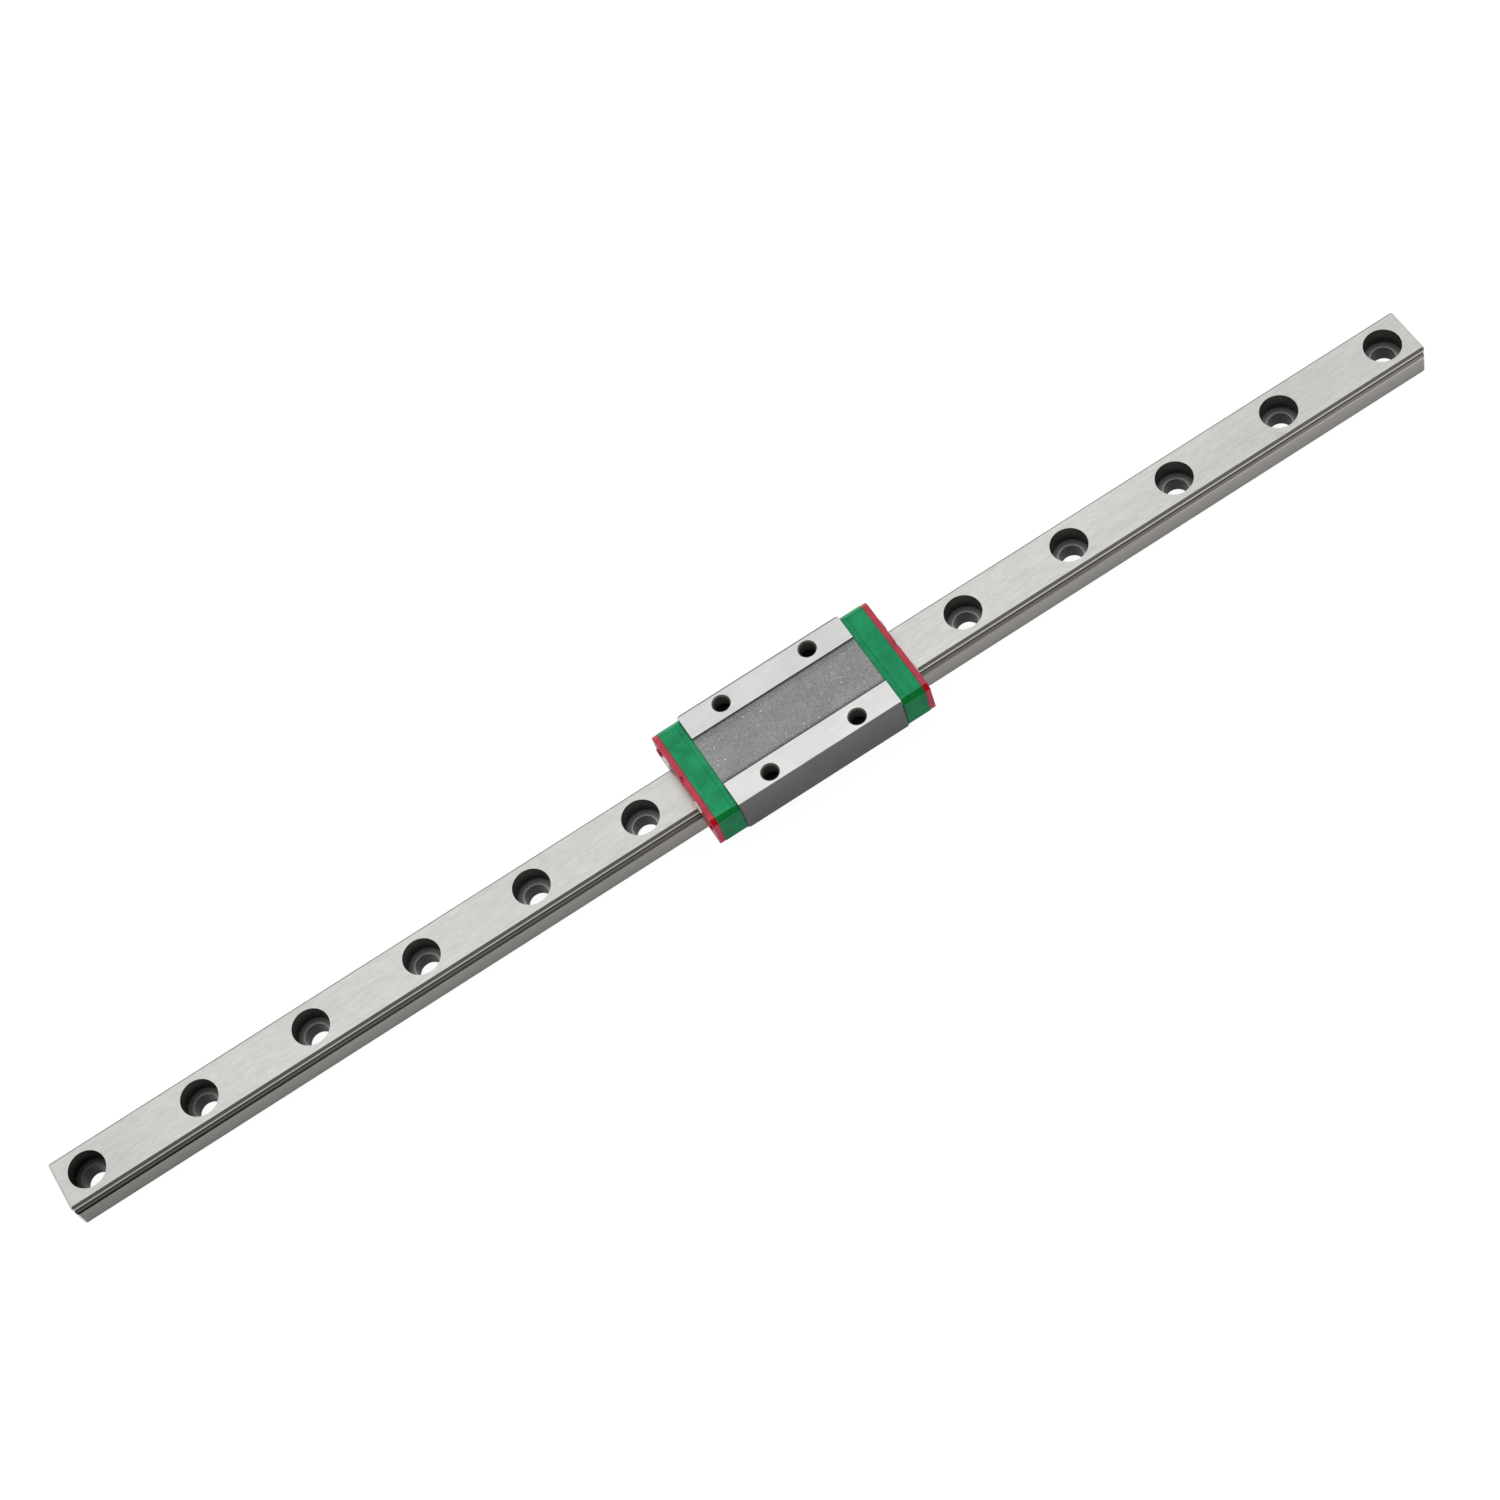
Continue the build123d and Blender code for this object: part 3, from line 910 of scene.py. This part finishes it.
class GUIDE_OT_end_caps(bpy.types.Operator):
    """Finish the two moulded end caps"""
    bl_idname = "guide.end_caps"
    bl_label = "End caps"

    def execute(self, context):
        plastic = context.scene.guide_plastic
        lit_and_shaded_hues = (plastic.cap, plastic.cap_slope_shaded, plastic.cap_side_shaded)
        seam = (body_high.x - body_low.x) / 2
        skin = moulded_skin(
            "cap_green", lit_and_shaded_hues, roughness=0.42, mottle=0.2, seam=seam, crease=seam + CAP_STRIP
        )
        edge_reflection_skin = moulded_skin("cap_green_edge", lit_and_shaded_hues, roughness=0.36, mottle=0.1, seam=seam, edge_reflection=0.06)
        for end in ENDS:
            cap = shell_of(f"end_cap_{end}", f"moulded_cap_{end}")
            break_edges(cap, plastic.edge_round, skin, edge_reflection_skin)
            stand_for(cap, "carriage", f"end_cap_{end}")
        return {"FINISHED"}


class GUIDE_OT_end_seals(bpy.types.Operator):
    """Finish the two end seals that wipe the rail"""
    bl_idname = "guide.end_seals"
    bl_label = "End seals"

    def execute(self, context):
        plastic = context.scene.guide_plastic
        lit_and_shaded_hues = (plastic.seal, plastic.seal_slope_shaded, plastic.seal_side_shaded)
        seam = (body_high.x - body_low.x) / 2 + CAP_LENGTH
        skin = moulded_skin("seal_red", lit_and_shaded_hues, roughness=0.36, mottle=0.15, seam=seam)
        edge_reflection_skin = moulded_skin("seal_red_edge", lit_and_shaded_hues, roughness=0.3, mottle=0.08, seam=seam, edge_reflection=0.04)
        for end in ENDS:
            seal = shell_of(f"end_seal_{end}", f"wiper_seal_{end}")
            break_edges(seal, plastic.edge_round, skin, edge_reflection_skin)
            stand_for(seal, "carriage", f"end_seal_{end}")
        return {"FINISHED"}


class GUIDE_OT_end_screws(bpy.types.Operator):
    """Model the pan-head screw of the end caps, and place its four copies"""
    bl_idname = "guide.end_screws"
    bl_label = "End screws"

    def execute(self, context):
        hardware = context.scene.guide_hardware
        screw = self.screw(hardware)
        screw.data.materials.clear()
        screw.data.materials.append(bright_skin("screw_steel", hardware.plating, roughness=0.16))
        for end, way in ENDS.items():
            for side in SIDES:
                node = f"end_screw_{side}_{end}"
                low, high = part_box(node)
                made = copy_piece(screw, f"pan_screw_{side}_{end}")
                made.location = (high.x if way > 0 else low.x, (low.y + high.y) / 2, (low.z + high.z) / 2)
                made.rotation_euler = (0, 0, 0 if way > 0 else pi)
                settle(made)
                stand_for(made, "carriage", node)
        bpy.data.objects.remove(screw)
        return {"FINISHED"}

    def screw(self, hardware):
        """Screw along X with the crown of its head at the origin."""
        low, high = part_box("end_screw_near_right")
        head_radius = (high.z - low.z) / 2
        reach = high.x - low.x
        bpy.ops.object.select_all(action="DESELECT")
        bpy.ops.mesh.primitive_cylinder_add(
            vertices=48, radius=head_radius, depth=HEAD_HEIGHT, location=(-HEAD_HEIGHT / 2, 0, 0),
            rotation=(0, pi / 2, 0),
        )
        screw = bpy.context.object
        screw.name = "pan_screw"
        settle(screw)
        edit(screw, lambda face: face.normal.x > 0.9)
        bpy.ops.mesh.bevel(offset=hardware.dome, segments=5, profile=0.5, affect="EDGES")
        close_edit()
        edit(screw, lambda face: face.normal.x < -0.9)
        bpy.ops.mesh.inset(thickness=head_radius - hardware.shank)
        bpy.ops.mesh.extrude_region_move(TRANSFORM_OT_translate={"value": (HEAD_HEIGHT - reach, 0, 0)})
        bpy.ops.mesh.bevel(offset=POINT_BEVEL, segments=1, affect="EDGES")
        close_edit()
        cutter = self.cross(hardware)
        modify(screw, "BOOLEAN", object=cutter, operation="DIFFERENCE", solver="EXACT")
        bpy.data.objects.remove(cutter)
        pick(screw)
        bpy.ops.object.shade_smooth_by_angle(angle=SHARP_SCREW)
        return screw

    def cross(self, hardware):
        """Tapered cross that cuts the recess."""
        arms = []
        for turn in (0, pi / 2):
            bpy.ops.object.select_all(action="DESELECT")
            bpy.ops.mesh.primitive_cube_add(size=1)
            arm = bpy.context.object
            arm.scale = (2 * hardware.recess_depth, 2 * hardware.recess_reach, hardware.recess_width)
            settle(arm)
            edit(arm, lambda face: face.normal.x < -0.9)
            bpy.ops.transform.resize(value=RECESS_TAPER)
            close_edit()
            arm.rotation_euler = (turn, 0, 0)
            settle(arm)
            arms.append(arm)
        modify(arms[0], "BOOLEAN", object=arms[1], operation="UNION", solver="EXACT")
        bpy.data.objects.remove(arms[1])
        return arms[0]


class GUIDE_OT_balls(bpy.types.Operator):
    """Model one ball, and place its copies round the two circuits"""
    bl_idname = "guide.balls"
    bl_label = "Balls"

    def execute(self, context):
        hardware = context.scene.guide_hardware
        bpy.ops.object.select_all(action="DESELECT")
        bpy.ops.mesh.primitive_ico_sphere_add(subdivisions=3, radius=hardware.ball / 2)
        ball = bpy.context.object
        ball.data.materials.clear()
        ball.data.materials.append(bright_skin("ball_steel", hardware.steel, roughness=0.08))
        bpy.ops.object.shade_smooth()
        for side in SIDES:
            node = f"ball_circuit_{side}"
            balls = []
            for number, spot in enumerate(self.places(node, hardware.ball)):
                made = copy_piece(ball, f"ball_{side}_{number}")
                made.location = spot
                settle(made)
                balls.append(made)
            pick(balls[0])
            for made in balls:
                made.select_set(True)
            bpy.ops.object.join()
            row = bpy.context.object
            row.name = row.data.name = f"ball_row_{side}"
            settle(row)
            stand_for(row, "carriage", node)
        bpy.data.objects.remove(ball)
        return {"FINISHED"}

    def places(self, node, diameter):
        """Centres of the balls, spread evenly round one circuit."""
        low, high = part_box(node)
        middle = (low + high) / 2
        straight = body_high.x - body_low.x
        whole = 2 * (straight + pi * TURN_RADIUS)
        closest = 2 * TURN_RADIUS * asin((diameter + BALL_SPACE) / (2 * TURN_RADIUS))
        count = floor(whole / closest)
        spots = [self.on_loop(index / count * whole, straight) for index in range(count)]
        return [Vector((block_x + x, middle.y + y, middle.z)) for x, y in spots]

    def on_loop(self, way, straight):
        """Place on a circuit's centre line, this far along a straight, a half turn, and both again."""
        half = straight + pi * TURN_RADIUS
        flip = -1 if way >= half else 1
        way %= half
        if way < straight:
            return flip * (way - straight / 2), -flip * TURN_RADIUS
        angle = (way - straight) / TURN_RADIUS
        return flip * (straight / 2 + TURN_RADIUS * sin(angle)), -flip * TURN_RADIUS * cos(angle)


class GUIDE_OT_stage(bpy.types.Operator):
    """Lay the floor, light the guide and set the camera"""
    bl_idname = "guide.stage"
    bl_label = "Stage"

    def execute(self, context):
        studio = context.scene.guide_studio
        self.floor(studio)
        self.sky(context, studio)
        self.lamp("key", KEY_PLACE, KEY_SIZE, studio.key)
        self.lamp("fill", FILL_PLACE, FILL_SIZE, studio.fill)
        bpy.ops.object.select_all(action="DESELECT")
        bpy.ops.object.camera_add(location=studio.camera_place, rotation=studio.camera_turn)
        camera = bpy.context.object
        camera.name = "guide_camera"
        camera.data.sensor_width = SENSOR_WIDTH
        camera.data.lens = studio.lens
        camera.data.clip_start = VIEW_NEAR
        camera.data.clip_end = VIEW_FAR
        context.scene.camera = camera
        context.scene.view_settings.view_transform = "Standard"
        return {"FINISHED"}

    def seen(self, tree):
        """1 for what is seen directly, in metal or through glass, and 0 for light that falls on the guide."""
        path = place(tree, "ShaderNodeLightPath").outputs
        first = calc(tree, "MAXIMUM", path["Is Camera Ray"], path["Is Glossy Ray"])
        return calc(tree, "MAXIMUM", first, path["Is Transmission Ray"])

    def floor(self, studio):
        bpy.ops.object.select_all(action="DESELECT")
        bpy.ops.mesh.primitive_plane_add(size=studio.floor_size, location=(0, 0, rail_low.z - FLOOR_DROP))
        floor_piece = bpy.context.object
        floor_piece.name = "studio_floor"
        settle(floor_piece)
        material = bpy.data.materials.new("studio_floor")
        material.use_nodes = True
        tree = material.node_tree
        tree.nodes.clear()
        pale = place(tree, "ShaderNodeBsdfDiffuse", {"Color": opaque(studio.floor_colour)}).outputs[0]
        glow = {"Color": opaque(WHITE), "Strength": FLOOR_LIGHT}
        white = place(tree, "ShaderNodeEmission", glow).outputs[0]
        share = calc(tree, "MULTIPLY", self.seen(tree), studio.floor_glow)
        blend = place(tree, "ShaderNodeMixShader", {0: share, 1: pale, 2: white}).outputs[0]
        place(tree, "ShaderNodeOutputMaterial", {"Surface": blend})
        floor_piece.data.materials.append(material)

    def sky(self, context, studio):
        world = bpy.data.worlds.new("studio_sky")
        context.scene.world = world
        world.use_nodes = True
        tree = world.node_tree
        tree.nodes.clear()
        source = place(tree, "ShaderNodeTexCoord").outputs["Generated"]
        height = place(tree, "ShaderNodeSeparateXYZ", {0: source}).outputs["Z"]
        tone = mix(tree, ramp(tree, height, 0.0, SKY_HEIGHT), grey(SKY_LOW), WHITE)
        light = place(tree, "ShaderNodeBackground", {"Color": tone, "Strength": studio.sky}).outputs[0]
        white = place(tree, "ShaderNodeBackground", {"Color": opaque(WHITE)}).outputs[0]
        blend = place(tree, "ShaderNodeMixShader", {0: self.seen(tree), 1: light, 2: white}).outputs[0]
        place(tree, "ShaderNodeOutputWorld", {"Surface": blend})

    def lamp(self, name, place_at, size, power):
        """Square soft lamp that faces the middle of the guide."""
        away = Vector(place_at)
        bpy.ops.object.light_add(type="AREA", location=away, rotation=away.to_track_quat("Z", "Y").to_euler())
        lamp = bpy.context.object
        lamp.name = f"studio_{name}"
        lamp.data.size = size
        lamp.data.energy = power


class GUIDE_PT_panel(bpy.types.Panel):
    """Lists the steps that make up the guide"""
    bl_idname = "GUIDE_PT_panel"
    bl_label = "Linear guide"
    bl_space_type = "VIEW_3D"
    bl_region_type = "UI"
    bl_category = "Linear guide"

    def draw(self, context):
        for step in STEPS:
            self.layout.operator(step.bl_idname)
        for name in SETTINGS:
            box = self.layout.box()
            group = getattr(context.scene, name)
            for key in group.__annotations__:
                box.prop(group, key)


STEPS = (
    GUIDE_OT_rail,
    GUIDE_OT_block_body,
    GUIDE_OT_end_caps,
    GUIDE_OT_end_seals,
    GUIDE_OT_end_screws,
    GUIDE_OT_balls,
    GUIDE_OT_stage,
)

SETTINGS = {
    "guide_steel": SteelSettings,
    "guide_plastic": PlasticSettings,
    "guide_hardware": HardwareSettings,
    "guide_studio": StudioSettings,
}


def register():
    for name, group in SETTINGS.items():
        bpy.utils.register_class(group)
        setattr(bpy.types.Scene, name, PointerProperty(type=group))
    for step in (*STEPS, GUIDE_PT_panel):
        bpy.utils.register_class(step)


def unregister():
    for step in (*STEPS, GUIDE_PT_panel):
        bpy.utils.unregister_class(step)
    for name, group in SETTINGS.items():
        delattr(bpy.types.Scene, name)
        bpy.utils.unregister_class(group)


def main():
    register()
    bpy.ops.guide.rail()
    bpy.ops.guide.block_body()
    bpy.ops.guide.end_caps()
    bpy.ops.guide.end_seals()
    bpy.ops.guide.end_screws()
    bpy.ops.guide.balls()
    bpy.ops.guide.stage()


if __name__ == "__main__":
    main()
